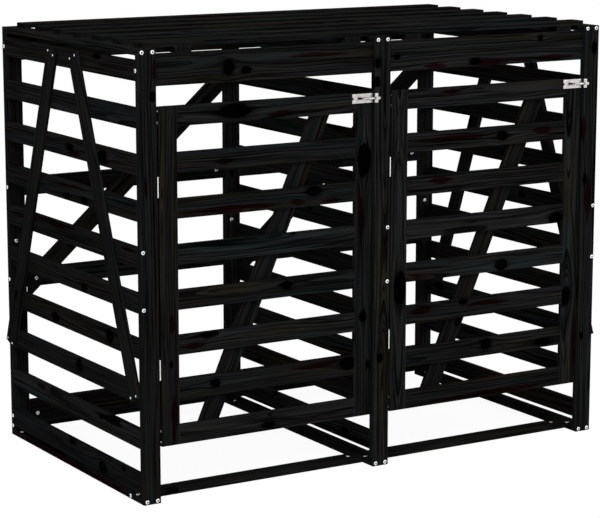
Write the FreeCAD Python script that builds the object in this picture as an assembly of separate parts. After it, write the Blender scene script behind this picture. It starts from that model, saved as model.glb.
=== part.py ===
import FreeCAD
import Part
import math
import os

Vector = FreeCAD.Vector

# Driving dimensions, in millimetres. The store is built in its own corner frame: X runs along
# the front from the left side, Y runs from the front of the posts to the back, Z is up.

# Whole store, measured over the posts
width = 1400.0
depth = 800.0
post_height = 1131.0

# Posts: flat boards that stand with their wide face to the front or the back
post_width = 47.0
post_thick = 18.0

# Battens that join a front post to a back post, lying flat at the top and at the floor
batten_thick = 15.0

# Slats, the same board for sides, doors and roof
slat_height = 50.0
slat_thick = 12.0
slat_count = 10
slat_batten_gap = 12.0

# Front and back rails
wide_rail_height = 78.0
top_rail_drop = 13.0
top_rail_setback = 8.0
back_mid_spread = 127.5
back_mid_shift = 2.0
floor_rail_width = 48.0
floor_rail_setback = 50.0

# Diagonal brace of each back bay, on the inside of the rails. Its rise is for a run of one.
back_brace_width = 50.0
back_brace_thick = 12.0
back_brace_foot = 24.0
back_brace_rise = 0.875
back_brace_post_lap = 30.0
back_brace_end_gap = 1.0

# Crossed laths on the outside of both sides, two to a side, like an upside-down V
lath_width = 45.0
lath_thick = 12.0
lath_head_drop = 17.0
lath_head_shift = 7.0
lath_head_spread = 64.5
lath_foot_height = 273.0
lath_foot_inset = 29.0
lath_end_margin = 8.0

# Roof
roof_end_inset = 30.0
roof_edge_inset = 31.0
roof_slat_count = 7
roof_batten_left_inset = 66.0
roof_batten_right_inset = 26.5
roof_batten_gap = 2.0

# Doors
door_setback = 8.0
door_hinge_gap = 9.5
door_latch_gap = 4.5
door_first_slat = 1
door_last_slat = 8
stile_width = 50.0
door_brace_width = 50.0
door_brace_thick = 12.0
door_brace_foot = 121.0
door_brace_head = 127.0
door_brace_end_margin = 3.0

# Butt hinges, two to a door, each level with a gap between slats, counted from the top
hinge_first_gap = 2
hinge_last_gap = 6
knuckle_radius = 2.2
hinge_axis_y = 7.2
hinge_length = 49.0
hinge_leaf_thick = 1.2
hinge_leaf_front = 10.5
hinge_leaf_back = 17.5
hinge_end_inset = 9.0
hinge_pin_radius = 1.2
hinge_pin_clearance = 0.06
hinge_pin_head_radius = 2.1
hinge_pin_head_height = 1.0
knuckle_end_play = 0.3

# Barrel bolts at the top of each door's free stile
bolt_plate_length = 62.5
bolt_plate_height = 24.0
bolt_plate_thick = 1.5
bolt_plate_top_drop = 2.0
bolt_plate_overhang = 2.0
bolt_notch_depth = 3.5
bolt_notch_height = 6.5
bolt_window_start = 17.0
bolt_window_length = 13.5
bolt_window_height = 5.0
bolt_window_end_length = 3.0
bolt_window_end_height = 8.5
plate_screw_edge_margin = 0.8
plate_screw_end_margin = 4.0
bolt_rod_radius = 2.0
bolt_rod_clearance = 0.3
bolt_barrel_wall = 0.9
bolt_barrel_length = 25.5
bolt_barrel_inset = 6.0
bolt_neck_radius = 1.2
bolt_neck_rest_gap = 3.6
bolt_knob_radius = 2.5
bolt_knob_gap = 0.4
bolt_knob_length = 4.0
bolt_tail_reach = 3.0
bolt_throw = 15.0
bolt_end_play = 1.0
bolt_tip_gap = 2.0
keeper_width = 10.0
keeper_overhang = 1.0
keeper_hoop_length = 12.5
keeper_hoop_clearance = 0.4

# Screws
head_radius = 5.5
head_height = 2.0
shank_radius = 2.5
long_shank_radius = 3.0
post_screw_length = 40.0
side_screw_length = 66.0
short_screw_length = 12.0
post_screw_spread = 14.5
mid_screw_spread = 71.5
small_head_radius = 3.0
small_head_height = 1.2
small_shank_radius = 1.5
lath_screw_length = 20.0
roof_screw_length = 22.0
brace_screw_length = 24.0
metal_screw_length = 10.0
leaf_screw_length = 11.0
leaf_screw_head_height = 0.6
door_edge_screw_length = 65.0
door_edge_screw_spread = 14.0
floor_screw_edge = 9.0
rail_screw_inset = 30.0
post_screw_inset = 19.0
low_screw_rise = 11.0

# Values worked out from the driving dimensions
bay_count = 2
panel_pitch = (width - post_width) / bay_count
panel_lefts = [panel_pitch * i for i in range(bay_count + 1)]
bay_lefts = [x + post_width for x in panel_lefts[:bay_count]]
bay_rights = panel_lefts[1:]
back_y = depth - post_thick
slat_floor = batten_thick + slat_batten_gap
slat_ceiling = post_height - batten_thick - slat_batten_gap
slat_pitch = (slat_ceiling - slat_height - slat_floor) / (slat_count - 1)
mid_height = post_height / 2
top_rail_base = post_height - top_rail_drop - wide_rail_height
roof_floor = post_height
roof_pitch = (depth - 2 * roof_edge_inset - slat_height) / (roof_slat_count - 1)
door_brace_y = door_setback + slat_thick
door_floor = slat_ceiling - slat_height - slat_pitch * door_last_slat
door_ceiling = slat_ceiling - slat_pitch * door_first_slat
bolt_axis_y = -(bolt_plate_thick + bolt_rod_clearance + bolt_rod_radius)
bolt_plate_front = door_setback - bolt_plate_thick
bolt_axis_z = door_ceiling - bolt_plate_top_drop - bolt_plate_height / 2
bolt_barrel_radius = bolt_rod_radius + bolt_rod_clearance + bolt_barrel_wall
bolt_slot_length = bolt_throw - bolt_neck_rest_gap + bolt_end_play
front_reach = -bolt_axis_y + bolt_barrel_radius + bolt_knob_gap + bolt_knob_length
back_reach = head_height

# The part's origin is the middle of its footprint on the ground
origin_shift = Vector(-width / 2, -(depth + back_reach - front_reach) / 2, 0)


def box(x, y, z, size_x, size_y, size_z):
    """A square board or plate with its lowest corner at x, y, z."""
    return Part.makeBox(size_x, size_y, size_z, Vector(x, y, z))


def rod(start, direction, radius, length):
    """A round bar."""
    return Part.makeCylinder(radius, length, start, direction)


def prism(points, depth_vector):
    """A straight board whose outline is given by its corners."""
    outline = Part.makePolygon(points + [points[0]])
    return Part.Face(outline).extrude(depth_vector)


def screw(face_point, direction, radius, height, shank, length):
    """A screw whose low domed head stands on face_point and whose shank runs along direction."""
    seat = radius
    crown = radius * 0.55
    head = Part.makeCone(seat, crown, height, face_point, direction.negative())
    return head.fuse(rod(face_point, direction, shank, length)).removeSplitter()


def big_screw(x, y, z, direction, length, shank=shank_radius):
    return screw(Vector(x, y, z), direction, head_radius, head_height, shank, length)


def small_screw(x, y, z, direction, length, height=small_head_height):
    return screw(Vector(x, y, z), direction, small_head_radius, height, small_shank_radius, length)


def drilled(board, screws):
    """The board with a hole for each screw that reaches it."""
    reach = board.BoundBox
    hits = [s for s in screws if s.BoundBox.intersect(reach)]
    return board.cut(hits) if hits else board


nodes = {}


def add(name, solids):
    """Keeps one named sub-part, made of one solid or of a group of separate solids."""
    nodes[name] = solids if isinstance(solids, list) else [solids]


def slat_base(index):
    """Height of the underside of slat number index, counted from the top."""
    return slat_ceiling - slat_height - slat_pitch * index


into_front = Vector(0, 1, 0)
into_back = Vector(0, -1, 0)
into_left = Vector(1, 0, 0)
into_right = Vector(-1, 0, 0)
down = Vector(0, 0, -1)
up = Vector(0, 0, 1)
side_names = ["left", "middle", "right"]
bay_names = ["left", "right"]


def slat_x(side):
    """Near face of a side's slats: flush with the outside on the left, and with the right
    edge of the post on the divider and on the right."""
    edge = 0 if side == 0 else post_width - slat_thick
    return panel_lefts[side] + edge


def post_screws():
    """Screws through the posts' wide faces, into battens at top and floor, and into two slats."""
    made = []
    for side in range(len(side_names)):
        middle = panel_lefts[side] + post_width / 2
        for y, direction in ((0, into_front), (depth, into_back)):
            for z in (batten_thick / 2, post_height - batten_thick / 2):
                for x in (middle - post_screw_spread, middle + post_screw_spread):
                    made.append(big_screw(x, y, z, direction, post_screw_length))
            for z in (mid_height - mid_screw_spread, mid_height + mid_screw_spread):
                x = slat_x(side) + slat_thick / 2
                made.append(big_screw(x, y, z, direction, post_screw_length))
    return made


def back_rail_bases():
    """Underside and height of the back rails of one bay, from the top down."""
    centre = mid_height + back_mid_shift
    upper = centre + back_mid_spread - slat_height / 2
    lower = centre - back_mid_spread - slat_height / 2
    return {
        "top": (top_rail_base, wide_rail_height),
        "upper": (upper, slat_height),
        "lower": (lower, slat_height),
        "bottom": (batten_thick, wide_rail_height),
    }


def side_screws():
    """Long screws through the outer edges of the corner posts, into the ends of the rails."""
    made = []
    front_mid = top_rail_setback + post_thick / 2
    back_mid = depth - post_thick / 2
    places = [(front_mid, top_rail_base + wide_rail_height / 2)]
    places += [(back_mid, base + height / 2) for base, height in back_rail_bases().values()]
    places.append((back_mid, batten_thick + low_screw_rise))
    places.append((floor_rail_setback + floor_rail_width / 2, batten_thick / 2))
    for x, direction in ((0, into_left), (width, into_right)):
        for y, z in places:
            made.append(big_screw(x, y, z, direction, side_screw_length, long_shank_radius))
    return made


def floor_screws():
    """Short screws seen on top of the floor battens and of the front floor rails."""
    made = []
    y = floor_rail_setback + floor_rail_width / 2
    for left in panel_lefts:
        x = left + floor_screw_edge
        for end_y in (floor_rail_setback, depth - floor_rail_setback):
            made.append(big_screw(x, end_y, batten_thick, down, short_screw_length))
    for left, right in zip(bay_lefts, bay_rights):
        for x in (left + rail_screw_inset, right - rail_screw_inset):
            made.append(big_screw(x, y, batten_thick, down, short_screw_length))
    return made


def rail_face_screws():
    """Screws on the inside faces of the back rails and of the back posts."""
    made = []
    bases = back_rail_bases()
    places = []
    for left, right in zip(bay_lefts, bay_rights):
        places.append((left + back_brace_foot, bases["bottom"][0] + wide_rail_height / 2))
        for name in ("upper", "lower"):
            places.append((right - rail_screw_inset, bases[name][0] + slat_height / 2))
    for left in panel_lefts:
        places.append((left + post_screw_inset, mid_height - post_screw_inset))
    for x, z in places:
        made.append(big_screw(x, back_y, z, into_front, short_screw_length))
    return made


def brace_line(left):
    """A point on the centre line of a back brace, and the height of that line at a given x."""
    base, height = back_rail_bases()["lower"]
    foot_x = left + back_brace_foot
    foot_z = base + height / 2
    return lambda x: foot_z + (x - foot_x) * back_brace_rise


def brace_screws():
    """Screws through each back brace, one into the lower rail and one into the post."""
    made = []
    y = back_y - back_brace_thick
    for left, right in zip(bay_lefts, bay_rights):
        line = brace_line(left)
        for x in (left + back_brace_foot, right + back_brace_post_lap / 2):
            made.append(big_screw(x, y, line(x), into_front, brace_screw_length))
    return made


def back_brace(left, right):
    """A diagonal board that rises from the lower rail to the face of the right-hand post."""
    line = brace_line(left)
    x_foot = left + back_brace_end_gap
    x_head = right + back_brace_post_lap
    half = back_brace_width / 2 * math.hypot(1, back_brace_rise)
    y = back_y - back_brace_thick
    corners = [
        Vector(x_foot, y, line(x_foot) - half),
        Vector(x_head, y, line(x_head) - half),
        Vector(x_head, y, line(x_head) + half),
        Vector(x_foot, y, line(x_foot) + half),
    ]
    return prism(corners, Vector(0, back_brace_thick, 0))


def lath_ends(leg):
    """Centres of a lath's two screw pairs, top first. Leg -1 leans forward, leg 1 leans back."""
    top_y = depth / 2 + lath_head_shift + leg * lath_head_spread
    top = (top_y, slat_ceiling - lath_head_drop)
    foot = (depth / 2 + leg * (depth / 2 - lath_foot_inset), lath_foot_height)
    return top, foot


def lath(outer_x, leg):
    """A lath with square ends, its inner face on the slats."""
    (top_y, top_z), (foot_y, foot_z) = lath_ends(leg)
    length = math.hypot(foot_y - top_y, foot_z - top_z)
    along = Vector(0, (foot_y - top_y) / length, (foot_z - top_z) / length)
    across = Vector(0, -along.z, along.y) * (lath_width / 2)
    start = Vector(outer_x, top_y, top_z) - along * lath_end_margin
    end = Vector(outer_x, foot_y, foot_z) + along * lath_end_margin
    corners = [start - across, end - across, end + across, start + across]
    return prism(corners, Vector(lath_thick, 0, 0))


def lath_screws():
    """Two small screws across each end of each lath."""
    made = []
    faces = ((-lath_thick, into_left), (width + lath_thick, into_right))
    for x, direction in faces:
        for leg in (-1, 1):
            (top_y, top_z), (foot_y, foot_z) = lath_ends(leg)
            length = math.hypot(foot_y - top_y, foot_z - top_z)
            step_y = (foot_z - top_z) / length * lath_width / 3
            step_z = (foot_y - top_y) / length * lath_width / 3
            for y, z in ((top_y, top_z), (foot_y, foot_z)):
                made.append(small_screw(x, y + step_y, z - step_z, direction, lath_screw_length))
                made.append(small_screw(x, y - step_y, z + step_z, direction, lath_screw_length))
    return made


def roof_batten_lefts():
    """Near edge of the flat battens under the roof slats, two to a bay."""
    made = []
    for left, right in zip(bay_lefts, bay_rights):
        made.append(left + roof_batten_left_inset)
        made.append(right - roof_batten_right_inset - post_width)
    return made


def roof_screws():
    """Screws up through the roof battens, one into every roof slat that they cross."""
    made = []
    z = roof_floor - batten_thick
    places = [x + post_width / 2 for x in roof_batten_lefts()]
    for index in range(roof_slat_count):
        y = roof_edge_inset + roof_pitch * index + slat_height / 2
        for x in places:
            made.append(small_screw(x, y, z, up, roof_screw_length))
    return made


def panel_slats(side):
    """The ten slats of one side, between its front and its back post."""
    x = slat_x(side)
    length = depth - 2 * post_thick
    made = []
    for index in range(slat_count):
        made.append(box(x, post_thick, slat_base(index), slat_thick, length, slat_height))
    return made


def build_frame():
    """Posts, battens, slats, rails, braces, laths and roof, with the holes for their screws."""
    through_posts = post_screws()
    through_rails = side_screws() + floor_screws() + rail_face_screws() + brace_screws()
    small_screws = lath_screws() + roof_screws() + keeper_screws() + frame_leaf_screws()
    every = through_posts + through_rails + small_screws

    def keep(name, *boards):
        add(name, [drilled(board, every) for board in boards])

    span = depth - 2 * post_thick
    for side, name in enumerate(side_names):
        x = panel_lefts[side]
        keep(name + "_front_post", box(x, 0, 0, post_width, post_thick, post_height))
        keep(name + "_back_post", box(x, back_y, 0, post_width, post_thick, post_height))
        keep(name + "_floor_batten", box(x, post_thick, 0, post_width, span, batten_thick))
        top = post_height - batten_thick
        keep(name + "_top_batten", box(x, post_thick, top, post_width, span, batten_thick))
        keep(name + "_slats", *panel_slats(side))

    for leg, place in ((-1, "front"), (1, "back")):
        keep("left_" + place + "_lath", lath(-lath_thick, leg))
        keep("right_" + place + "_lath", lath(width, leg))

    for name, left, right in zip(bay_names, bay_lefts, bay_rights):
        inside = right - left
        board = box(left, top_rail_setback, top_rail_base, inside, post_thick, wide_rail_height)
        keep(name + "_front_top_rail", board)
        board = box(left, floor_rail_setback, 0, inside, floor_rail_width, batten_thick)
        keep(name + "_front_floor_rail", board)
        for place, (base, height) in back_rail_bases().items():
            board = box(left, back_y, base, inside, post_thick, height)
            keep(name + "_back_" + place + "_rail", board)
        keep(name + "_back_brace", back_brace(left, right))

    roof_length = width - 2 * roof_end_inset
    roof = []
    for index in range(roof_slat_count):
        y = roof_edge_inset + roof_pitch * index
        roof.append(box(roof_end_inset, y, roof_floor, roof_length, slat_height, slat_thick))
    keep("roof_slats", *roof)
    base = roof_floor - batten_thick
    start = top_rail_setback + post_thick + roof_batten_gap
    run = back_y - roof_batten_gap - start
    keep("roof_battens", *[box(x, start, base, post_width, run, batten_thick)
                           for x in roof_batten_lefts()])
    add("post_screws", through_posts)
    add("rail_screws", through_rails)
    add("small_frame_screws", small_screws)


def door_slats(left, right):
    """The eight slats of a door, between its stiles and flush with them."""
    x = left + stile_width
    length = right - left - 2 * stile_width
    made = []
    for index in range(door_first_slat, door_last_slat + 1):
        made.append(box(x, door_setback, slat_base(index), length, slat_thick, slat_height))
    return made


def door_brace_line(left, right):
    """The centre line of a door's brace, as the x of its foot and of its head."""
    return left + door_brace_foot, right - door_brace_head


def door_brace(left, right):
    """A diagonal board on the back of a door's slats, from the bottom slat to the top one."""
    foot, head = door_brace_line(left, right)
    foot_z = door_floor + door_brace_end_margin
    head_z = door_ceiling - door_brace_end_margin
    half = door_brace_width / 2 * math.hypot(head - foot, head_z - foot_z) / (head_z - foot_z)
    corners = [
        Vector(foot - half, door_brace_y, foot_z),
        Vector(foot + half, door_brace_y, foot_z),
        Vector(head + half, door_brace_y, head_z),
        Vector(head - half, door_brace_y, head_z),
    ]
    return prism(corners, Vector(0, door_brace_thick, 0))


def door_brace_screws(left, right):
    """One screw through the brace into every slat that it crosses, driven from the inside."""
    foot, head = door_brace_line(left, right)
    rise = door_ceiling - door_floor - 2 * door_brace_end_margin
    made = []
    for index in range(door_first_slat, door_last_slat + 1):
        z = slat_base(index) + slat_height / 2
        x = foot + (head - foot) * (z - door_floor - door_brace_end_margin) / rise
        y = door_brace_y + door_brace_thick
        made.append(small_screw(x, y, z, into_back, lath_screw_length))
    return made


def hinge_bases():
    """Underside of each hinge of a door, which sits level with a gap between two slats."""
    gap_half = (slat_pitch - slat_height) / 2
    made = []
    for index in (hinge_last_gap, hinge_first_gap):
        made.append(slat_base(index) - gap_half - hinge_length / 2)
    return made


def hinge_leaf(face_x, plate_x, axis_x, z, joints):
    """A hinge leaf: a plate on the wood, and a joint of the barrel for each of the given lengths,
    which start at a height above the hinge's underside. From each joint a tongue runs back, and
    a step leads across from it to the plate."""
    side = 1 if face_x > axis_x else -1
    outer_x = axis_x + side * knuckle_radius
    inner_x = outer_x - side * hinge_leaf_thick
    leaf = box(plate_x, hinge_leaf_front, z, hinge_leaf_thick,
               hinge_leaf_back - hinge_leaf_front, hinge_length)
    for start, length in joints:
        base = z + start
        tongue = box(min(inner_x, outer_x), hinge_axis_y, base, hinge_leaf_thick,
                     hinge_leaf_front + hinge_leaf_thick - hinge_axis_y, length)
        step = box(min(inner_x, face_x), hinge_leaf_front, base, abs(face_x - inner_x),
                   hinge_leaf_thick, length)
        barrel = rod(Vector(axis_x, hinge_axis_y, base), up, knuckle_radius, length)
        leaf = leaf.fuse(tongue).fuse(step).fuse(barrel)
    bore = hinge_pin_radius + hinge_pin_clearance
    room = rod(Vector(axis_x, hinge_axis_y, z), up, bore, hinge_length)
    return leaf.cut(room).removeSplitter()


def frame_leaf(left, axis_x, z):
    """The hinge leaf on the post, with the outer two joints of the barrel."""
    joint = hinge_length / 3
    low = (0, joint - knuckle_end_play)
    high = (2 * joint + knuckle_end_play, joint - knuckle_end_play)
    return hinge_leaf(left, left, axis_x, z, (low, high))


def door_leaf(right, axis_x, z):
    """The hinge leaf on the door's edge, with the middle joint of the barrel."""
    joint = hinge_length / 3
    return hinge_leaf(right, right - hinge_leaf_thick, axis_x, z, ((joint, joint),))


def hinge_pin(x, z):
    """The pin of one hinge, with a low cap at each end that rests on the barrel."""
    base = Vector(x, hinge_axis_y, z)
    made = rod(base, up, hinge_pin_radius, hinge_length)
    made = made.fuse(rod(base, up.negative(), hinge_pin_head_radius, hinge_pin_head_height))
    top = Vector(x, hinge_axis_y, z + hinge_length)
    made = made.fuse(rod(top, up, hinge_pin_head_radius, hinge_pin_head_height))
    return made.removeSplitter()


def leaf_screw_places(z):
    """Depth and height of the two screws of a leaf."""
    y = door_setback + slat_thick / 2
    return [(y, z + hinge_end_inset), (y, z + hinge_length - hinge_end_inset)]


def frame_leaf_screws():
    """Screws of the leaves on the posts, driven sideways into the post."""
    made = []
    for left in bay_lefts:
        for base in hinge_bases():
            for y, z in leaf_screw_places(base):
                x = left + hinge_leaf_thick
                made.append(small_screw(x, y, z, into_right, leaf_screw_length,
                                        leaf_screw_head_height))
    return made


def door_leaf_screws(left):
    """Screws of the leaves on a door, driven sideways into its stile."""
    made = []
    for base in hinge_bases():
        for y, z in leaf_screw_places(base):
            x = left - hinge_leaf_thick
            made.append(small_screw(x, y, z, into_left, leaf_screw_length,
                                    leaf_screw_head_height))
    return made


def door_edge_screws(left, right):
    """Long screws through both stiles' edges, into the ends of the top and bottom slats."""
    made = []
    y = door_setback + slat_thick / 2
    for index in (door_first_slat, door_last_slat):
        middle = slat_base(index) + slat_height / 2
        for z in (middle - door_edge_screw_spread, middle + door_edge_screw_spread):
            made.append(small_screw(left, y, z, into_left, door_edge_screw_length))
            made.append(small_screw(right, y, z, into_right, door_edge_screw_length))
    return made


def bolt_span(right):
    """Left and right end of a bolt's plate on a door whose free edge is at right."""
    end = right + bolt_plate_overhang
    return end - bolt_plate_length, end


def barrel_left(right):
    """Left end of a bolt's barrel on a door whose free edge is at right."""
    return bolt_span(right)[1] - bolt_barrel_inset - bolt_barrel_length


def plate_hole(x, length, height):
    """Room for a hole through a bolt's plate, at the height of the rod."""
    return box(x, bolt_plate_front, bolt_axis_z - height / 2, length, bolt_plate_thick, height)


def bolt_plate(right):
    """The bolt's back plate, notched and pierced on its left, with the barrel that holds the
    rod. The barrel is round in front, and slotted from its left end for the knob's neck."""
    start, end = bolt_span(right)
    base = bolt_axis_z - bolt_plate_height / 2
    plate = box(start, bolt_plate_front, base, bolt_plate_length, bolt_plate_thick,
                bolt_plate_height)
    window_x = start + bolt_window_start
    plate = plate.cut(plate_hole(start, bolt_notch_depth, bolt_notch_height))
    plate = plate.cut(plate_hole(window_x, bolt_window_length, bolt_window_height))
    plate = plate.cut(plate_hole(window_x, bolt_window_end_length, bolt_window_end_height))
    x = barrel_left(right)
    axis = Vector(x, bolt_axis_y, bolt_axis_z)
    barrel = rod(axis, into_left, bolt_barrel_radius, bolt_barrel_length)
    barrel = barrel.fuse(box(x, bolt_axis_y, bolt_axis_z - bolt_barrel_radius,
                             bolt_barrel_length, bolt_plate_front - bolt_axis_y,
                             2 * bolt_barrel_radius))
    bore = bolt_rod_radius + bolt_rod_clearance
    barrel = barrel.cut(rod(axis, into_left, bore, bolt_barrel_length))
    slot_half = bolt_neck_radius + bolt_rod_clearance
    slot = box(x, bolt_axis_y - bolt_barrel_radius, bolt_axis_z - slot_half,
               bolt_slot_length, bolt_barrel_radius, 2 * slot_half)
    return plate.fuse(barrel.cut(slot)).removeSplitter()


def bolt_rod(right, keeper_left):
    """The sliding rod with its knob on a thin neck, drawn back so that its tip stands just
    short of the keeper."""
    tip = keeper_left - bolt_tip_gap
    neck_x = barrel_left(right) - bolt_neck_rest_gap - bolt_neck_radius
    tail = neck_x - bolt_tail_reach
    bar = rod(Vector(tail, bolt_axis_y, bolt_axis_z), into_left, bolt_rod_radius, tip - tail)
    axis = Vector(neck_x, bolt_axis_y, bolt_axis_z)
    knob_start = bolt_barrel_radius + bolt_knob_gap
    neck = rod(axis, into_back, bolt_neck_radius, knob_start)
    knob = rod(axis + into_back * knob_start, into_back, bolt_knob_radius, bolt_knob_length)
    return bar.fuse(neck).fuse(knob).removeSplitter()


def keeper(left):
    """The keeper on the post: a flat plate with a square-sided hoop that the rod enters."""
    base = bolt_axis_z - bolt_plate_height / 2
    plate = box(left, -bolt_plate_thick, base, keeper_width, bolt_plate_thick,
                bolt_plate_height)
    room = bolt_rod_radius + keeper_hoop_clearance
    outer = room + bolt_barrel_wall
    front = bolt_axis_y - outer
    hoop = box(left, front, bolt_axis_z - outer, keeper_hoop_length,
               -bolt_plate_thick - front, 2 * outer)
    inside = box(left, bolt_axis_y - room, bolt_axis_z - room, keeper_hoop_length,
                 -bolt_plate_thick - bolt_axis_y + room, 2 * room)
    return plate.fuse(hoop.cut(inside)).removeSplitter()


def plate_screw_heights():
    """Heights of the screws above and below the rod, on a bolt's plate or keeper."""
    reach = bolt_plate_height / 2 - small_head_radius - plate_screw_edge_margin
    return [bolt_axis_z - reach, bolt_axis_z + reach]


def keeper_screws():
    """Screws of both keepers."""
    made = []
    for left in panel_lefts[1:]:
        x = left - keeper_overhang + keeper_width / 2
        for z in plate_screw_heights():
            made.append(small_screw(x, -bolt_plate_thick, z, into_front, metal_screw_length))
    return made


def bolt_plate_screws(right):
    """Screws at the four corners of a bolt's plate."""
    start, end = bolt_span(right)
    inset = small_head_radius + plate_screw_end_margin
    made = []
    for x in (start + inset, end - inset):
        for z in plate_screw_heights():
            made.append(small_screw(x, bolt_plate_front, z, into_front, metal_screw_length))
    return made


def build_door(name, bay_left, bay_right):
    """One door with its brace, hinge leaves, pins and bolt, and its keeper on the post."""
    left = bay_left + door_hinge_gap
    right = bay_right - door_latch_gap
    height = door_ceiling - door_floor
    axis_x = bay_left + door_hinge_gap / 2
    screws = door_brace_screws(left, right) + door_edge_screws(left, right)
    screws += door_leaf_screws(left) + bolt_plate_screws(right)

    def keep(piece, *boards):
        add(name + piece, [drilled(board, screws) for board in boards])

    stile = box(left, door_setback, door_floor, stile_width, slat_thick, height)
    keep("_door_hinge_stile", stile)
    latch_x = right - stile_width
    stile = box(latch_x, door_setback, door_floor, stile_width, slat_thick, height)
    keep("_door_latch_stile", stile)
    keep("_door_slats", *door_slats(left, right))
    keep("_door_brace", door_brace(left, right))
    keep("_door_hinge_leaves", *[door_leaf(left, axis_x, z) for z in hinge_bases()])
    keep("_bolt_plate", bolt_plate(right))
    add(name + "_door_screws", screws)

    frame_leaves = [frame_leaf(bay_left, axis_x, z) for z in hinge_bases()]
    add(name + "_post_hinge_leaves", [drilled(x, frame_leaf_screws()) for x in frame_leaves])
    add(name + "_hinge_pins", [hinge_pin(axis_x, z) for z in hinge_bases()])
    keeper_left = bay_right - keeper_overhang
    add(name + "_bolt_rod", bolt_rod(right, keeper_left))
    add(name + "_bolt_keeper", drilled(keeper(keeper_left), keeper_screws()))


def write_parts():
    """Writes every sub-part to its own file, moved to the part's own origin."""
    os.makedirs("parts", exist_ok=True)
    for name, solids in nodes.items():
        loose = [solid for shape in solids for solid in shape.Solids]
        whole = loose[0] if len(loose) == 1 else Part.makeCompound(loose)
        whole.translate(origin_shift)
        whole.exportStep(os.path.join("parts", name + ".step"))
    print(len(nodes), "sub-parts written")


build_frame()
for bay, bay_name in enumerate(bay_names):
    build_door(bay_name, bay_lefts[bay], bay_rights[bay])
write_parts()
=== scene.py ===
import bpy
import bmesh
import math
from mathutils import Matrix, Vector


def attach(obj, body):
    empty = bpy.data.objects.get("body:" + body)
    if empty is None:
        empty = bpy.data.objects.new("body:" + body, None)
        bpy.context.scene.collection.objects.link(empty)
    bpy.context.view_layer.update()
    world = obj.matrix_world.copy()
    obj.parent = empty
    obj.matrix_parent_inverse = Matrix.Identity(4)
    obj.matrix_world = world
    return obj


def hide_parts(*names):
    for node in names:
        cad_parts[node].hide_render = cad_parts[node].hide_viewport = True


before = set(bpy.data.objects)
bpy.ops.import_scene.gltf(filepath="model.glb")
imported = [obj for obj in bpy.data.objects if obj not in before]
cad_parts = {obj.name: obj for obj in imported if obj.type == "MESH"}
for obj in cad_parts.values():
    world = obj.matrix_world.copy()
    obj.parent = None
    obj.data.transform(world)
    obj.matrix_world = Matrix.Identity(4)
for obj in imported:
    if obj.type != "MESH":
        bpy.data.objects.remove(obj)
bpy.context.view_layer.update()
scene = bpy.context.scene

MM = 0.001
X, Y, Z = Vector((1, 0, 0)), Vector((0, 1, 0)), Vector((0, 0, 1))


# Node helpers

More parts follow.
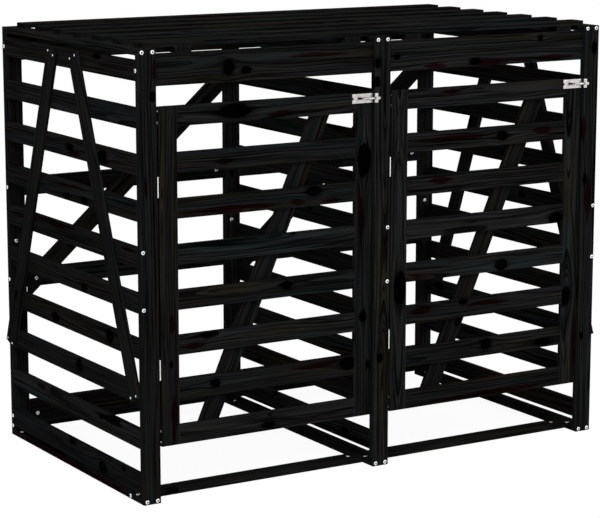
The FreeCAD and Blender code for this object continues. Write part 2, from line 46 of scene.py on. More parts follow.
class Tree:
    """Short calls for building a node tree."""

    def __init__(self, tree):
        self.tree = tree

    def node(self, kind, **sockets):
        made = self.tree.nodes.new(kind)
        for name, value in sockets.items():
            self.put(made.inputs[name.replace("_", " ")], value)
        return made

    def put(self, socket, value):
        """Links a socket to another, or sets its value."""
        if isinstance(value, bpy.types.NodeSocket):
            self.tree.links.new(value, socket)
        elif value is not None:
            socket.default_value = value

    def use(self, shared, values):
        """A node group with its inputs given by label. Gives its outputs."""
        made = self.tree.nodes.new("ShaderNodeGroup")
        made.node_tree = shared
        for label, value in values.items():
            self.put(made.inputs[label], value)
        return made.outputs

    def math(self, operation, a, b=None, c=None):
        made = self.tree.nodes.new("ShaderNodeMath")
        made.operation = operation
        for socket, value in zip(made.inputs, (a, b, c)):
            self.put(socket, value)
        return made.outputs[0]

    def plus(self, a, b):
        return self.math("ADD", a, b)

    def minus(self, a, b):
        return self.math("SUBTRACT", a, b)

    def times(self, a, b):
        return self.math("MULTIPLY", a, b)

    def rest_of_one(self, value):
        return self.minus(1.0, value)

    def same(self, a, b):
        """1 where two whole numbers are the same, else 0."""
        return self.math("COMPARE", a, b, 0.5)

    def spread(self, value, width):
        """A value from 0 to 1 turned into one that lies evenly about 0, width wide in all."""
        return self.times(self.minus(value, 0.5), width)

    def range(self, value, least, more):
        """least where the value is 0, and least plus more where it is 1."""
        return self.plus(least, self.times(value, more))

    def diagonal(self, a, b):
        return self.math("SQRT", self.plus(self.times(a, a), self.times(b, b)))

    def along(self, place, way):
        """How far a place lies along a direction."""
        made = self.tree.nodes.new("ShaderNodeVectorMath")
        made.operation = "DOT_PRODUCT"
        self.put(made.inputs[0], place)
        self.put(made.inputs[1], tuple(way))
        return made.outputs["Value"]

    def join(self, x, y, z):
        made = self.tree.nodes.new("ShaderNodeCombineXYZ")
        for socket, value in zip(made.inputs, (x, y, z)):
            self.put(socket, value)
        return made.outputs[0]

    def split(self, value):
        made = self.tree.nodes.new("ShaderNodeSeparateXYZ")
        self.put(made.inputs[0], value)
        return made.outputs

    def noise(self, place, scale=1.0, detail=2.0, roughness=0.5):
        """A noise texture's value and colour."""
        return self.node("ShaderNodeTexNoise", Vector=place, Scale=scale, Detail=detail,
                         Roughness=roughness).outputs

    def dice(self, dimensions, **sockets):
        """White noise's value and colour, the same wherever its input is the same."""
        made = self.tree.nodes.new("ShaderNodeTexWhiteNoise")
        made.noise_dimensions = dimensions
        for name, value in sockets.items():
            self.put(made.inputs[name], value)
        return made.outputs

    def ramp(self, value, low, high):
        """0 below low, 1 above high, and smooth between them."""
        made = self.tree.nodes.new("ShaderNodeMapRange")
        made.interpolation_type = "SMOOTHSTEP"
        self.put(made.inputs["Value"], value)
        self.put(made.inputs["From Min"], low)
        self.put(made.inputs["From Max"], high)
        return made.outputs["Result"]

    def mix(self, factor, a, b, blend="MIX"):
        made = self.tree.nodes.new("ShaderNodeMix")
        made.data_type = "RGBA"
        made.blend_type = blend
        self.put(made.inputs[0], factor)
        for socket, value in ((made.inputs[6], a), (made.inputs[7], b)):
            if isinstance(value, tuple):
                value = (*value, 1.0)
            self.put(socket, value)
        return made.outputs[2]

    def seen(self):
        """1 for rays that show a surface itself, 0 for those that only light others with it."""
        rays = self.node("ShaderNodeLightPath").outputs
        return self.math("MAXIMUM", rays["Is Camera Ray"],
                         self.math("MAXIMUM", rays["Is Glossy Ray"],
                                   rays["Is Transmission Ray"]))


def group(name, inputs, outputs):
    """An empty node group with sockets of the given labels, its Tree, its inputs and outputs.
    Every socket holds a number, apart from one labelled Color."""
    made = bpy.data.node_groups.new(name, "ShaderNodeTree")
    for labels, side in ((inputs, "INPUT"), (outputs, "OUTPUT")):
        for label in labels:
            kind = "NodeSocketColor" if label == "Color" else "NodeSocketFloat"
            made.interface.new_socket(label, in_out=side, socket_type=kind)
    start = made.nodes.new("NodeGroupInput")
    end = made.nodes.new("NodeGroupOutput")
    return made, Tree(made), start.outputs, end.inputs


def new_material(name):
    """A material, its Tree and its shader."""
    material = bpy.data.materials.new(name)
    material.use_nodes = True
    return material, Tree(material.node_tree), material.node_tree.nodes["Principled BSDF"]


# Black-stained pine. Colours are linear, and lengths are in metres unless they say mm.

CHARCOAL = (0.0113, 0.0117, 0.0112)
PITCH = (0.0006, 0.0006, 0.0006)
SLATE = (0.0108, 0.0140, 0.0147)
OLIVE = (0.0150, 0.0128, 0.0082)
PLUM = (0.0132, 0.0114, 0.0144)
RUST = (0.0068, 0.0007, 0.0008)
AMBER = (0.0150, 0.0072, 0.0026)
CORE = (0.0003, 0.0003, 0.0003)
WORN = (0.0192, 0.0192, 0.0198)

# Where each layer over the stain sets in and is full, and how strong it gets
SLATE_RAMP = (0.52, 0.68)
OLIVE_RAMP, OLIVE_STRENGTH = (0.54, 0.68), 0.85
PLUM_RAMP, PLUM_STRENGTH = (0.56, 0.70), 0.6
AMBER_RAMP, AMBER_STRENGTH = (0.62, 0.74), 0.6
RUST_RAMP, RUST_STRENGTH = (0.05, 0.60), 0.9
RUST_GATE = (0.0, 0.15)
LATE_START, LATE_END, LATE_STRENGTH = (0.52, 0.90), (0.92, 1.0), 0.85
BOLD_RAMP = (0.22, 0.55)
HAIR_START, HAIR_END, HAIR_STRENGTH = (0.55, 0.60), (0.72, 0.64), 0.75
HALO_RAMP, HALO_STRENGTH = (0.7, 1.8), 0.6
CORE_RAMP, CORE_STRENGTH = (0.90, 1.02), 0.96
WORN_RAMP, WORN_STRENGTH = (0.0002, 0.0013), 0.5
STRAND_RAMP = (0.28, 0.66)

# Factors on the stain's brightness: the least, and how much more
STRAND_TONE = (0.42, 0.95)
FINE_TONE = (0.60, 0.80)
BOARD_TONE = (0.85, 0.3)

# Noise textures: how often each repeats along three values, its detail and its roughness. The
# offsets keep two of them apart from the others.
TEXTURES = {
    "wander": ((2.2, 1, 1), 1.5, 0.5),
    "ripple": ((5.0, 22.0, 22.0), 2.0, 0.5),
    "uneven": ((70.0, 1, 1), 1.0, 0.5),
    "bold": ((0.8, 3.0, 1), 1.0, 0.5),
    "fine": ((14.0, 520.0, 520.0), 3.0, 0.65),
    "strand": ((3.2, 170.0, 170.0), 3.0, 0.6),
    "hair": ((3.6, 3.1, 1), 2.0, 0.6),
    "took": ((0.55, 1.5, 1), 1.5, 0.55),
    "rare": ((0.7, 2.2, 1), 1.0, 0.5),
    "flame": ((11.0, 210.0, 1), 3.0, 0.6),
    "crumb": ((48.0, 85.0, 85.0), 2.0, 0.5),
}
RARE_OFFSET, FLAME_OFFSET = 7.0, 3.0

# Growth rings: their heart lies behind the board and to one side, and wanders along it
RING_PITCH = 0.0058
RING_UNEVEN = 2.4
HEART_ASIDE = 0.16
HEART_BEHIND = (0.014, 0.045)
WANDER = 0.022
RIPPLE = 0.006

# Each whole seed starts this much further along the grain
SEED_STEP = 3.7

# Knots of a board's own: at most one to each cell of its length
KNOT_CELL = 0.37
KNOT_PLACE = (0.2, 0.6)
KNOT_ASIDE = 0.044
KNOT_LENGTH = (0.007, 0.013)
KNOT_SLIMNESS = 0.6
WILD, WILD_WHERE_DRAWN = 0.45, 0.15

# How far a knot bends the grain round it, how ragged it is, and the distances that stand for a
# knot on another board and for none at all, in sizes of the knot
BEND_LENGTH, BEND_FADE = 0.6, -0.60
CRUMBLE, FRINGE = 0.6, 1.8
OTHER_BOARD = 40.0
NO_KNOT = 9.0

# Streaks: how full they are in the middle, how they taper, and how their edges flicker
STREAK_FILL, STREAK_TAPER, STREAK_FLICKER = 1.15, 1.7, 2.6

# How much the casts of boards differ, how uneven the wear is, and the surface
BOARD_COOL = 0.10
WEAR_LEVEL, WEAR_SPREAD = 0.55, 0.004
ROUGHNESS, LATE_SHEEN = (0.72, 0.24), 0.08
LATE_RELIEF, FINE_RELIEF, KNOT_RELIEF = 0.5, 0.5, 0.4
PINE_SPECULAR = 0.001

# What places a knot or a streak on a board
MARK = ["U", "V", "Board", "At Board", "At U", "At V", "Long", "Wide"]


def make_knot_group():
    """Bends the grain round one knot, and keeps how near the closest knot is."""
    made, t, i, o = group("knot", MARK + ["Near"], ["V", "Near"])
    same = t.same(i["Board"], i["At Board"])
    away = t.times(t.rest_of_one(same), OTHER_BOARD)
    du = t.math("DIVIDE", t.minus(i["U"], i["At U"]), i["Long"])
    du = t.plus(t.math("ABSOLUTE", du), away)
    off = t.minus(i["V"], i["At V"])
    dv = t.math("DIVIDE", off, i["Wide"])
    slim = t.times(du, BEND_LENGTH)
    far = t.plus(t.times(slim, slim), t.times(dv, dv))
    pull = t.math("EXPONENT", t.times(far, BEND_FADE))
    t.put(o["V"], t.minus(i["V"], t.times(off, pull)))
    t.put(o["Near"], t.math("MINIMUM", i["Near"], t.diagonal(du, dv)))
    return made


def make_streak_group():
    """Adds one long reddish streak, pointed at both ends."""
    made, t, i, o = group("streak", MARK + ["Red"], ["Red"])
    same = t.same(i["Board"], i["At Board"])
    du = t.math("ABSOLUTE", t.math("DIVIDE", t.minus(i["U"], i["At U"]), i["Long"]))
    dv = t.math("ABSOLUTE", t.math("DIVIDE", t.minus(i["V"], i["At V"]), i["Wide"]))
    fill = t.minus(t.minus(STREAK_FILL, t.math("POWER", du, STREAK_TAPER)), dv)
    t.put(o["Red"], t.math("MAXIMUM", i["Red"], t.times(fill, same)))
    return made


KNOT = make_knot_group()
STREAK = make_streak_group()


def texture(t, name, *places):
    """One of TEXTURES over three values: its value and its colour."""
    scales, detail, roughness = TEXTURES[name]
    scaled = [p if s == 1 else t.times(p, s) for p, s in zip(places, scales)]
    return t.noise(t.join(*scaled), detail=detail, roughness=roughness)


def middle(t, a, b, c):
    """The middle one of three values."""
    low = t.math("MINIMUM", a, b)
    high = t.math("MAXIMUM", a, b)
    return t.math("MAXIMUM", low, t.math("MINIMUM", high, c))


def own_knots(t, i, along):
    """The grain bent by a board's own small knots too, and how near the closest knot is."""
    cell = t.math("FLOOR", t.math("DIVIDE", along, KNOT_CELL))
    chance, colour = t.dice("2D", Vector=t.join(cell, i["Seed"], 0.0))
    place, side, bulk = t.split(colour)
    start, room = KNOT_PLACE
    spot = t.plus(t.plus(cell, start), t.times(place, room))
    size = t.range(bulk, *KNOT_LENGTH)
    return t.use(KNOT, {
        "U": along, "V": i["Bent V"], "Near": i["Near"], "Board": 1.0,
        "At Board": t.math("LESS_THAN", chance, i["Wild"]),
        "At U": t.times(spot, KNOT_CELL), "At V": t.spread(side, KNOT_ASIDE),
        "Long": size, "Wide": t.times(size, KNOT_SLIMNESS)})


def growth_rings(t, i, along, bent, dice, shift):
    """V as the grain wanders, how many rings lie between a spot and the heart, and how much
    dark late wood it has."""
    wander = t.split(texture(t, "wander", along, dice[0], shift)[1])
    ripple = texture(t, "ripple", along, bent, i["W"])[0]
    v = t.plus(bent, t.spread(wander[0], WANDER))
    v = t.plus(v, t.spread(ripple, RIPPLE))
    aside = t.minus(v, t.spread(dice[0], HEART_ASIDE))
    behind = t.plus(i["W"], t.range(dice[1], *HEART_BEHIND))
    behind = t.plus(behind, t.spread(wander[1], WANDER))
    ring = t.diagonal(aside, behind)
    uneven = texture(t, "uneven", ring, dice[2], shift)[0]
    turns = t.plus(t.math("DIVIDE", ring, RING_PITCH), t.times(uneven, RING_UNEVEN))
    part = t.math("FRACT", turns)
    late = t.times(t.ramp(part, *LATE_START), t.rest_of_one(t.ramp(part, *LATE_END)))
    bold = texture(t, "bold", turns, along, dice[1])[0]
    return v, turns, t.times(late, t.ramp(bold, *BOLD_RAMP))


def stain(t, i, along, v, turns, dice):
    """The stain's colour, which took differently from one ring to the next."""
    took = t.split(texture(t, "took", turns, along, dice[2])[1])
    board = t.plus(i["Cool"], t.spread(dice[2], BOARD_COOL))
    colour = t.mix(t.ramp(t.plus(took[0], board), *SLATE_RAMP), CHARCOAL, SLATE)
    olive = t.ramp(t.minus(took[1], board), *OLIVE_RAMP)
    colour = t.mix(t.times(olive, OLIVE_STRENGTH), colour, OLIVE)
    plum = t.ramp(took[2], *PLUM_RAMP)
    colour = t.mix(t.times(plum, PLUM_STRENGTH), colour, PLUM)
    rare = texture(t, "rare", turns, along, t.plus(dice[0], RARE_OFFSET))[0]
    colour = t.mix(t.times(t.ramp(rare, *AMBER_RAMP), AMBER_STRENGTH), colour, AMBER)
    flame = texture(t, "flame", along, v, t.plus(dice[1], FLAME_OFFSET))[0]
    red = t.ramp(t.plus(i["Red"], t.spread(flame, STREAK_FLICKER)), *RUST_RAMP)
    red = t.times(red, t.ramp(i["Red"], *RUST_GATE))
    return t.mix(t.times(red, RUST_STRENGTH), colour, RUST)


def make_pine_group():
    """Colour, roughness and relief of a stained board. U, V and W run along, across and through
    it from its centre, in metres. Bent V is V with the grain's swerve round the drawn knots."""
    made, t, i, o = group(
        "stained_pine",
        ["U", "V", "W", "Bent V", "Near", "Red", "Half U", "Half V", "Half W", "Seed", "Wild",
         "Cool", "Dark"],
        ["Color", "Roughness", "Height"])
    dice = t.split(t.dice("1D", W=i["Seed"])[1])
    shift = t.times(i["Seed"], SEED_STEP)
    along = t.plus(i["U"], shift)
    bent, near = own_knots(t, i, along)
    v, turns, late = growth_rings(t, i, along, bent, dice, shift)
    colour = stain(t, i, along, v, turns, dice)

    # Lighter and darker fibres, late wood and thin dark hairs
    fine = texture(t, "fine", along, i["V"], i["W"])[0]
    strand = texture(t, "strand", along, v, i["W"])[0]
    tone = t.range(t.ramp(strand, *STRAND_RAMP), *STRAND_TONE)
    tone = t.times(tone, t.rest_of_one(i["Dark"]))
    tone = t.times(tone, t.range(fine, *FINE_TONE))
    tone = t.times(tone, t.range(dice[1], *BOARD_TONE))
    colour = t.mix(1.0, colour, t.join(tone, tone, tone), "MULTIPLY")
    colour = t.mix(t.times(late, LATE_STRENGTH), colour, PITCH)
    hair = texture(t, "hair", along, turns, dice[0])[0]
    hair = t.times(t.ramp(hair, *HAIR_START), t.ramp(hair, *HAIR_END))
    colour = t.mix(t.times(hair, HAIR_STRENGTH), colour, PITCH)

    # Knots: a black core with a ragged rim, and a darker fringe that runs out along the grain
    crumb = texture(t, "crumb", along, i["V"], i["W"])[0]
    ragged = t.plus(near, t.spread(crumb, CRUMBLE))
    fringe = t.plus(near, t.spread(strand, FRINGE))
    halo = t.rest_of_one(t.ramp(fringe, *HALO_RAMP))
    core = t.rest_of_one(t.ramp(ragged, *CORE_RAMP))
    colour = t.mix(t.times(halo, HALO_STRENGTH), colour, PITCH)
    colour = t.mix(t.times(core, CORE_STRENGTH), colour, CORE)

    # Worn arrises: close to two of the board's faces at once
    edges = [t.minus(i["Half " + way], t.math("ABSOLUTE", i[way])) for way in "UVW"]
    edge = t.plus(middle(t, *edges), t.times(t.minus(WEAR_LEVEL, fine), WEAR_SPREAD))
    worn = t.rest_of_one(t.ramp(edge, *WORN_RAMP))
    t.put(o["Color"], t.mix(t.times(worn, WORN_STRENGTH), colour, WORN))

    rough = t.range(fine, *ROUGHNESS)
    t.put(o["Roughness"], t.minus(rough, t.times(late, LATE_SHEEN)))
    height = t.plus(t.times(late, LATE_RELIEF), t.times(fine, FINE_RELIEF))
    t.put(o["Height"], t.minus(height, t.times(core, KNOT_RELIEF)))
    return made


PINE = make_pine_group()

# The slats' height, which tells them apart, and the seeds of nodes and of boards in one node
SLAT_HEIGHT = 0.050
SEED_COUNT = 97
BOARD_SEED_STEP = 1.37


def spans(name, *ways):
    """Where a node starts and ends along each of the given directions."""
    places = [v.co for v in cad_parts[name].data.vertices]
    made = []
    for way in ways:
        runs = [p.dot(way) for p in places]
        made.append((min(runs), max(runs)))
    return made


def seed_of(name):
    """A number from the letters of a name, the same on each run."""
    return float(sum(ord(c) * (k + 3) for k, c in enumerate(name)) % SEED_COUNT)


def pine(name, along, across, count, knots, streaks, wild, cast_and_shade):
    """A pine material for one node. along and across are unit vectors in the part's frame. count
    is the number of separate boards that lie side by side across, and each gets its own grain.
    A knot or streak is a board's number, counted from the node's low side, its place along from
    the part's origin and across from the middle of the board, its half length and its half
    width, in mm. wild is how likely each stretch of a board is to have a knot of its own.
    cast_and_shade says how cool and how dark the stain came out on this node; on the roof slats
    the darkness is painted shade on their top, which the lamps and sky light more."""
    material, t, shader = new_material("pine_" + name)
    place = t.node("ShaderNodeTexCoord").outputs["Object"]
    through = along.cross(across)
    (u0, u1), (v0, v1), (w0, w1) = spans(name, along, across, through)
    u = t.along(place, along)
    v = t.along(place, across)
    w = t.minus(t.along(place, through), (w0 + w1) / 2)
    board = 0.0
    seed = seed_of(name)
    if count > 1:
        pitch = (v1 - v0 - SLAT_HEIGHT) / (count - 1)
        start = v0 + SLAT_HEIGHT / 2 - pitch / 2
        steps = t.math("DIVIDE", t.minus(v, start), pitch)
        board = t.math("FLOOR", steps)
        v = t.spread(t.math("FRACT", steps), pitch)
        seed = t.plus(seed, t.times(board, BOARD_SEED_STEP))
        half_v = SLAT_HEIGHT / 2
    else:
        v = t.minus(v, (v0 + v1) / 2)
        half_v = (v1 - v0) / 2

    def mark(kind, values, drawn):
        at_board, at_u, at_v, long, wide = drawn
        return t.use(kind, {
            "U": u, "Board": board, "At Board": float(at_board), "At U": at_u * MM,
            "At V": at_v * MM, "Long": long * MM, "Wide": wide * MM, **values})

    bent, near, red = v, NO_KNOT, 0.0
    for drawn in knots:
        bent, near = mark(KNOT, {"V": bent, "Near": near}, drawn)
    for drawn in streaks:
        red = mark(STREAK, {"V": bent, "Red": red}, drawn)["Red"]
    cool, dark = cast_and_shade
    wood = t.use(PINE, {
        "U": t.minus(u, (u0 + u1) / 2), "V": v, "W": w, "Bent V": bent, "Near": near, "Red": red,
        "Half U": (u1 - u0) / 2, "Half V": half_v, "Half W": (w1 - w0) / 2, "Seed": seed,
        "Wild": wild, "Cool": cool, "Dark": dark})
    bump = t.node("ShaderNodeBump", Strength=0.4, Distance=0.0006, Height=wood["Height"])
    t.put(shader.inputs["Base Color"], wood["Color"])
    t.put(shader.inputs["Roughness"], wood["Roughness"])
    t.put(shader.inputs["Normal"], bump.outputs[0])
    t.put(shader.inputs["Specular IOR Level"], PINE_SPECULAR)
    return material


# Zinc plating: bright on screws and hinges, duller on bolts, and dark in screw recesses as painted
# shade

ZINC_DULL_RAMP = (0.35, 0.7)
ZINC_ROUGHNESS, SPANGLE_ROUGHNESS = (0.26, 0.16), 0.06


def zinc(name, clean, dull):
    """Plated steel with clouds between two colours and fine spangles."""
    material, t, shader = new_material(name)
    place = t.node("ShaderNodeTexCoord").outputs["Object"]
    cloud = t.noise(place, scale=90.0, detail=4.0, roughness=0.6)[0]
    spangle = t.noise(place, scale=900.0)[0]
    t.put(shader.inputs["Base Color"], t.mix(t.ramp(cloud, *ZINC_DULL_RAMP), clean, dull))
    rough = t.range(cloud, *ZINC_ROUGHNESS)
    t.put(shader.inputs["Roughness"], t.plus(rough, t.times(spangle, SPANGLE_ROUGHNESS)))
    bump = t.node("ShaderNodeBump", Strength=0.15, Distance=0.0001, Height=spangle)
    t.put(shader.inputs["Normal"], bump.outputs[0])
    t.put(shader.inputs["Metallic"], 1.0)
    return material


BRIGHT_ZINC = zinc("bright_zinc", (0.93, 0.93, 0.94), (0.84, 0.85, 0.86))
BOLT_ZINC = zinc("bolt_zinc", (0.58, 0.555, 0.54), (0.46, 0.44, 0.43))
# The screw recesses' zinc is darkened as painted shade, where little light would reach into the
# cross
RECESS_SHADE_ZINC = zinc("recess_shade_zinc", (0.16, 0.16, 0.17), (0.10, 0.10, 0.11))


def lean(name, flat_axis):
    """The direction along a slanting board, and the one across it, from its own corners."""
    side = X if flat_axis == Y else Y
    places = [v.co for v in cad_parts[name].data.vertices]
    half_height = sum(spans(name, Z)[0]) / 2
    ends = []
    for top in (False, True):
        corners = [p for p in places if (p.z > half_height) == top]
        ends.append(sum(corners, Vector()) / len(corners))
    rise = ends[1] - ends[0]
    along = (side * rise.dot(side) + Z * rise.z).normalized()
    return along, flat_axis.cross(along).normalized()


# Marks that show, board by board. Slats of doors and sides are counted from the lowest.

DOOR_SLATS, SIDE_SLATS, ROOF_SLATS = 8, 10, 7
DOOR_TOP, SIDE_TOP = DOOR_SLATS - 1, SIDE_SLATS - 1
KNOTS = {
    "left_door_slats": (
        (DOOR_TOP, -430, 3, 45, 19), (DOOR_TOP - 2, -203, 12, 22, 14),
        (DOOR_TOP - 5, -508, 17, 26, 9), (DOOR_TOP - 6, -492, 5, 15, 11),
        (DOOR_TOP - 6, -98, 7, 25, 18), (DOOR_TOP - 7, -337, -11, 21, 10)),
    "right_door_slats": (
        (DOOR_TOP - 1, 388, -1, 20, 13), (DOOR_TOP - 3, 572, -11, 23, 15),
        (DOOR_TOP - 4, 390, -9, 21, 16), (DOOR_TOP - 6, 344, 6, 19, 16),
        (DOOR_TOP - 6, 537, -11, 29, 10)),
    "left_door_latch_stile": ((0, 817, 3, 46, 21), (0, 407, 0, 14, 11)),
    "right_door_hinge_stile": ((0, 469, 6, 46, 20),),
    "right_door_latch_stile": ((0, 391, -12, 26, 18),),
    "left_front_top_rail": ((0, -448, -4, 16, 20), (0, -398, -11, 15, 8)),
    "right_front_top_rail": ((0, 508, 26, 10, 8), (0, 294, -26, 19, 9)),
    "left_front_post": ((0, 1017, 14, 13, 8),),
    "middle_front_post": ((0, 1066, -15, 14, 10), (0, 1019, -17, 12, 8)),
    "left_slats": (
        (SIDE_TOP, -171, 19, 20, 7), (SIDE_TOP - 2, -191, 0, 30, 17),
        (SIDE_TOP - 2, -5, 1, 22, 10), (SIDE_TOP - 3, 17, -14, 20, 8),
        (SIDE_TOP - 3, -86, -12, 20, 8), (SIDE_TOP - 5, -75, -11, 16, 10),
        (SIDE_TOP - 6, 101, -7, 23, 13), (SIDE_TOP - 6, -217, 3, 23, 17),
        (SIDE_TOP - 7, -37, 8, 18, 16), (SIDE_TOP - 9, 12, 19, 20, 9),
        (SIDE_TOP - 9, -165, -9, 23, 16), (SIDE_TOP - 8, -243, 22, 25, 12)),
}
STREAKS = {
    "left_door_slats": (
        (DOOR_TOP, -300, -9, 50, 8), (DOOR_TOP - 1, -460, -5, 34, 10),
        (DOOR_TOP - 2, -430, -12, 170, 10), (DOOR_TOP - 2, -250, -11, 32, 9),
        (DOOR_TOP - 2, -150, -15, 36, 7), (DOOR_TOP - 5, -550, -4, 44, 11),
        (DOOR_TOP - 6, -190, 13, 85, 9)),
    "right_door_slats": (
        (DOOR_TOP, 220, 13, 34, 8), (DOOR_TOP - 1, 240, 4, 160, 12),
        (DOOR_TOP - 1, 520, 6, 42, 10), (DOOR_TOP - 2, 190, 9, 45, 11),
        (DOOR_TOP - 5, 350, 7, 85, 9), (DOOR_TOP - 5, 130, 8, 40, 12),
        (DOOR_TOP - 7, 340, -17, 250, 9)),
    "left_front_top_rail": ((0, -190, 15, 110, 6), (0, -655, -16, 14, 12)),
    "right_front_top_rail": ((0, 170, -33, 42, 10), (0, 350, -28, 75, 10), (0, 530, -27, 140, 8)),
    "left_slats": (
        (SIDE_TOP - 2, -33, -12, 50, 9), (SIDE_TOP - 3, -11, 14, 100, 5),
        (SIDE_TOP - 3, 345, 23, 50, 4), (SIDE_TOP - 4, 88, 18, 125, 9),
        (SIDE_TOP - 4, 310, 8, 85, 8), (SIDE_TOP - 4, -328, 15, 50, 8)),
    "left_floor_batten": ((0, 10, -23, 400, 8),),
    "left_door_hinge_stile": ((0, 450, 6, 36, 9), (0, 210, 10, 70, 11)),
    "left_door_latch_stile": ((0, 670, -6, 115, 8), (0, 910, -20, 40, 7)),
    "right_door_latch_stile": ((0, 240, 19, 105, 9),),
    "right_front_post": ((0, 660, -1, 75, 12), (0, 850, -20, 50, 6)),
    "left_front_post": ((0, 1080, 17, 34, 9), (0, 800, -8, 32, 8)),
}

# How cool and how dark the stain came out. The roof slats' darkness is painted shade, holding down
# their top, which the lamps and sky light more.
PLAIN_CAST = (0.0, 0.0)
CASTS_AND_SHADE = {
    "left_front_top_rail": (-0.05, 0.05), "right_front_top_rail": (0.05, 0.0),
    "left_slats": (0.02, 0.0), "left_door_slats": (0.04, 0.0), "right_door_slats": (0.03, 0.0),
    # The roof slats' dark value is painted shade on their upward faces, not a stain
    "left_front_post": (0.04, 0.06), "roof_slats": (0.0, 0.14),
}
METAL = ("screws", "leaves", "pins")


def grain_of(name):
    """The directions along and across a wooden node's boards, and how many lie side by side."""
    if name.endswith(("post", "stile")):
        return Z, X, 1
    if name.endswith("lath"):
        return *lean(name, X), 1
    if name.endswith("brace"):
        return *lean(name, Y), 1
    if name.endswith(("batten", "battens")):
        return Y, X, 1
    if name == "roof_slats":
        return X, Y, ROOF_SLATS
    if name.endswith("door_slats"):
        return X, Z, DOOR_SLATS
    if name.endswith("slats"):
        return Y, Z, SIDE_SLATS
    if name.endswith("floor_rail"):
        return X, Y, 1
    return X, Z, 1


def finish_of(name):
    """The material of a node."""
    if "bolt" in name:
        return BOLT_ZINC
    if any(word in name for word in METAL):
        return BRIGHT_ZINC
    knots = KNOTS.get(name, ())
    return pine(name, *grain_of(name), knots, STREAKS.get(name, ()),
                WILD_WHERE_DRAWN if knots else WILD, CASTS_AND_SHADE.get(name, PLAIN_CAST))


for node_name in sorted(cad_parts):
    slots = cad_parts[node_name].data.materials
    slots.clear()
    slots.append(finish_of(node_name))


# Screws with domed, cross-recessed heads, in the places of the plain ones. Sizes of the head are
# shares of its radius, and the recess's floor is a share of its height.

SCREWS = {
    "post_screws": "frame", "rail_screws": "frame", "small_frame_screws": "frame",
    "left_door_screws": "left_door", "right_door_screws": "right_door",
}
RECESS_WIDTH, RECESS_LENGTH, RECESS_FLOOR = 0.14, 0.47, 0.15
HEAD_LINES = (-1.0, -0.80, -0.56, -RECESS_LENGTH, -0.20, -RECESS_WIDTH, 0.0,
              RECESS_WIDTH, 0.20, RECESS_LENGTH, 0.56, 0.80, 1.0)

# The point's length and the radius of its end, in radii of the shank; the turn from one screw
# to the next, in radians; how far out a plain head's rim starts, in radii of the head; how close
# two corners count as one, in metres; and the digits kept of a solid's place
POINT_LENGTH, POINT_TIP = 1.2, 0.2
TURN_STEP = 2.4
RIM_SHARE = 0.98
SAME_PLACE = 1e-5
PLACE_DIGITS = 4


def box_of(points):
    """The low and the high corner of the box round some points."""
    return [Vector([pick(p[k] for p in points) for k in range(3)]) for pick in (min, max)]


def place_of(points):
    """The middle of a solid's box, rounded, to put solids in order."""
    low, high = box_of(points)
    return [round((low[k] + high[k]) / 2, PLACE_DIGITS) for k in range(3)]


def loose_solids(name):
    """The separate solids of a node, each as its corner points, always in the same order."""
    work = bmesh.new()
    work.from_mesh(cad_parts[name].data)
    bmesh.ops.remove_doubles(work, verts=work.verts, dist=SAME_PLACE)
    work.verts.index_update()
    seen = set()
    solids = []
    for first in work.verts:
        if first.index in seen:
            continue
        seen.add(first.index)
        reach = [first]
        found = []
        while reach:
            vert = reach.pop()
            found.append(vert.co.copy())
            for edge in vert.link_edges:
                other = edge.other_vert(vert)
                if other.index not in seen:
                    seen.add(other.index)
                    reach.append(other)
        solids.append(found)
    work.free()
    return sorted(solids, key=place_of)


def screw_frame(points):
    """Where a plain screw's head sits and points to, and its head's and shank's sizes."""
    low, high = box_of(points)
    size = high - low
    way = max(range(3), key=lambda k: size[k])
    centre = (low + high) / 2

    def radius(p):
        return math.hypot(*[(p - centre)[k] for k in range(3) if k != way])

    head_radius = max(radius(p) for p in points)
    rim = [p[way] for p in points if radius(p) > head_radius * RIM_SHARE]
    seat = sum(rim) / len(rim)
    outward = 1.0 if high[way] - seat < seat - low[way] else -1.0
    head_end, tip = (high[way], low[way]) if outward > 0 else (low[way], high[way])
    shank = max(radius(p) for p in points if abs(p[way] - tip) < SAME_PLACE)
    axis = Vector([outward if k == way else 0.0 for k in range(3)])
    seat_point = Vector([seat if k == way else centre[k] for k in range(3)])
    return seat_point, axis, head_radius, abs(head_end - seat), shank, abs(tip - seat)


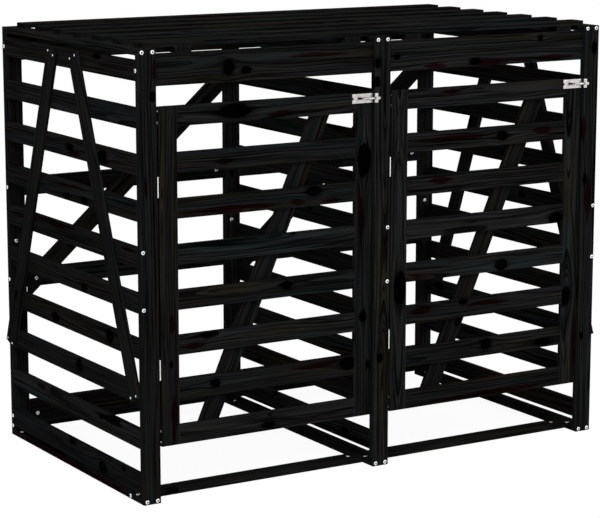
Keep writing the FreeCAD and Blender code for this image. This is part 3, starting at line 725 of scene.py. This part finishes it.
def add_screw(work, points, turn):
    """One screw: a domed head with a cross recess, a seat, a shank and a point."""
    seat, axis, radius, height, shank, length = screw_frame(points)
    across = Vector((axis.y, axis.z, axis.x))
    upright = axis.cross(across)
    aside = across * math.cos(turn) + upright * math.sin(turn)
    upright = axis.cross(aside)

    def sunk(s, t):
        narrow, wide = sorted((abs(s), abs(t)))
        return narrow <= RECESS_WIDTH and wide <= RECESS_LENGTH

    grid = []
    low_corners = set()
    for s in HEAD_LINES:
        row = []
        for t in HEAD_LINES:
            x, y = s * math.sqrt(1 - t * t / 2), t * math.sqrt(1 - s * s / 2)
            rise = math.sqrt(max(0.0, 1 - (x * x + y * y)))
            z = height * (RECESS_FLOOR if sunk(s, t) else rise)
            vert = work.verts.new(seat + aside * (x * radius) + upright * (y * radius) + axis * z)
            if sunk(s, t):
                low_corners.add(vert)
            row.append(vert)
        grid.append(row)
    last = len(HEAD_LINES) - 1
    for a in range(last):
        for b in range(last):
            face = work.faces.new((grid[a][b], grid[a + 1][b], grid[a + 1][b + 1], grid[a][b + 1]))
            # Faces in the recess take the second slot, the dark zinc of painted shade
            inside = any(v in low_corners for v in face.verts)
            face.material_index = 1 if inside else 0
            face.smooth = not inside
    rim = [grid[k][0] for k in range(last)] + [grid[last][k] for k in range(last)]
    rim += [grid[last - k][last] for k in range(last)] + [grid[0][last - k] for k in range(last)]
    point_start = length - POINT_LENGTH * shank
    for ring_radius, depth in ((shank, 0.0), (shank, point_start), (shank * POINT_TIP, length)):
        ring = []
        for vert in rim:
            spoke = vert.co - seat
            spoke = (spoke - axis * spoke.dot(axis)).normalized()
            ring.append(work.verts.new(seat + spoke * ring_radius - axis * depth))
        for k, vert in enumerate(rim):
            after = (k + 1) % len(rim)
            work.faces.new((rim[after], vert, ring[k], ring[after]))
        rim = ring
    work.faces.new(rim)


for node_name, body in SCREWS.items():
    work = bmesh.new()
    for index, points in enumerate(loose_solids(node_name)):
        add_screw(work, points, TURN_STEP * index)
    bmesh.ops.recalc_face_normals(work, faces=work.faces)
    mesh = bpy.data.meshes.new("domed_" + node_name)
    work.to_mesh(mesh)
    work.free()
    mesh.materials.append(BRIGHT_ZINC)
    mesh.materials.append(RECESS_SHADE_ZINC)
    piece = bpy.data.objects.new("domed_" + node_name, mesh)
    scene.collection.objects.link(piece)
    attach(piece, body)
    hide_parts(node_name)


# Floor and surroundings: both look white, and light the store less than they seem to

FLOOR_SIZE, FLOOR_DROP = 160, 0.0005
FLOOR_GLOW_SHARE = 0.8
SKY_LIGHT, SKY_SEEN_MORE = 0.45, 0.55


def stage_material():
    """White to the camera and to glossy rays, with a soft shadow of the object kept on it."""
    material, t = new_material("studio_floor")[:2]
    t.tree.nodes.clear()
    place = t.node("ShaderNodeTexCoord").outputs["Object"]
    grain = t.noise(place, scale=3.0)[0]
    paint_white = t.mix(grain, (0.82, 0.82, 0.82), (0.84, 0.84, 0.84))
    matt = t.node("ShaderNodeBsdfDiffuse", Color=paint_white)
    glow = t.node("ShaderNodeEmission", Strength=1.15, Color=(1, 1, 1, 1))
    blend = t.node("ShaderNodeMixShader", Fac=t.times(t.seen(), FLOOR_GLOW_SHARE))
    t.put(blend.inputs[1], matt.outputs[0])
    t.put(blend.inputs[2], glow.outputs[0])
    t.node("ShaderNodeOutputMaterial", Surface=blend.outputs[0])
    return material


bpy.ops.mesh.primitive_plane_add(size=FLOOR_SIZE, location=(0, 0, -FLOOR_DROP))
floor = bpy.context.object
floor.name = "studio_floor"
floor.data.materials.append(stage_material())

world = bpy.data.worlds.new("studio_world")
scene.world = world
world.use_nodes = True
sky = Tree(world.node_tree)
backing = world.node_tree.nodes["Background"].inputs
sky.put(backing["Color"], (1, 1, 1, 1))
sky.put(backing["Strength"], sky.range(sky.seen(), SKY_LIGHT, SKY_SEEN_MORE))

# Lamps: name, place, what it points at, width and height, and power in watts
LAMPS = (
    ("key", (-3.2, -4.2, 4.2), (0, 0, 0.5), (3.0, 3.0), 150),
    ("fill", (4.2, -3.4, 2.6), (0, 0, 0.5), (3.0, 3.0), 80),
    ("top", (0, 0.6, 5.0), (0, 0, 0), (4.0, 4.0), 12),
)
for name, place, aim, (size, size_y), power in LAMPS:
    data = bpy.data.lights.new(name, "AREA")
    data.shape = "RECTANGLE"
    data.size, data.size_y = size, size_y
    data.energy = power
    lamp = bpy.data.objects.new(name, data)
    scene.collection.objects.link(lamp)
    lamp.location = place
    lamp.rotation_euler = (Vector(aim) - Vector(place)).to_track_quat("-Z", "Y").to_euler()

# Camera, fitted to the photograph's frame of 600 by 518. Angles are in radians.
CAMERA_PLACE = (-3.1036, -5.0927, 1.6135)
CAMERA_PITCH, CAMERA_TURN = 0.1860, 0.5462
FOCAL_PIXELS, FRAME_PIXELS, SENSOR = 2205.5, 600, 36.0

camera_data = bpy.data.cameras.new("camera")
camera = bpy.data.objects.new("camera", camera_data)
scene.collection.objects.link(camera)
scene.camera = camera
camera.location = CAMERA_PLACE
camera.rotation_euler = (math.pi / 2 - CAMERA_PITCH, 0, -CAMERA_TURN)
camera_data.sensor_width = SENSOR
camera_data.lens = FOCAL_PIXELS / FRAME_PIXELS * SENSOR
camera_data.clip_start = 0.05
camera_data.clip_end = 400.0

scene.view_settings.view_transform = "Standard"
